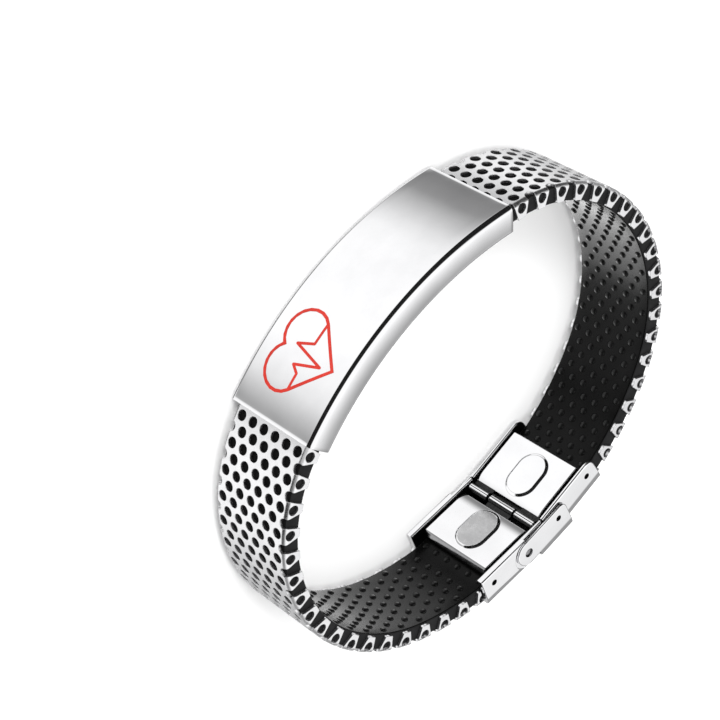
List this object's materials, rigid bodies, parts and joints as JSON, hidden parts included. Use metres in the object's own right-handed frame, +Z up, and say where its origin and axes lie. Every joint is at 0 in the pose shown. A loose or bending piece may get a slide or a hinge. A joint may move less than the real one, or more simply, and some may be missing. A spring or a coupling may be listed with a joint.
{
  "type": "medical alert bracelet",
  "caption": "Medical identification bracelet: pierced steel mesh folded over a silicone strap, a curved plate with a red heart emblem, and a folding clasp with a safety flap.",
  "frame": {"origin": "middle of the bounding box at its base: the bracelet lies on its side and the origin is on the surface it lies on, inside the loop", "axes": "+Z up, along the loop's axis and across the band; -Y towards the identification plate, +Y towards the clasp; +X towards the plate's emblem"},
  "size_m": [0.0722, 0.0598, 0.0156],
  "materials": {
    "silicone": "matt silicone",
    "mesh_steel": "satin stainless steel",
    "polished_steel": "mirror-polished stainless steel",
    "red_enamel": "gloss enamel",
    "pin_steel": "drawn stainless steel"
  },
  "bodies": {
    "band": {"strap": "silicone", "mesh_right": "mesh_steel", "mesh_left": "mesh_steel", "id_plate": "polished_steel", "emblem": "red_enamel", "clasp_cover_left": "polished_steel", "clasp_cover_right": "polished_steel", "hinge_pin": "pin_steel", "flap_rivet_top": "pin_steel", "flap_rivet_bottom": "pin_steel"},
    "flap": {"safety_flap": "polished_steel"},
    "clamp_left": {"clamp_plate_left": "polished_steel"},
    "clamp_right": {"clamp_plate_right": "polished_steel"}
  },
  "joints": [
    {"name": "flap_turn", "type": "hinge", "parent": "band", "child": "flap", "pos_m": [0.00561, 0.02587, 0.0078], "axis": [0, 0, -1], "range_deg": [0, 70]},
    {"name": "clamp_left_turn", "type": "hinge", "parent": "band", "child": "clamp_left", "pos_m": [0.0022, 0.02454, 0.0078], "axis": [0, 0, 1], "range_deg": [0, 60]},
    {"name": "clamp_right_turn", "type": "hinge", "parent": "band", "child": "clamp_right", "pos_m": [0.0022, 0.02454, 0.0078], "axis": [0, 0, -1], "range_deg": [0, 60]}
  ]
}
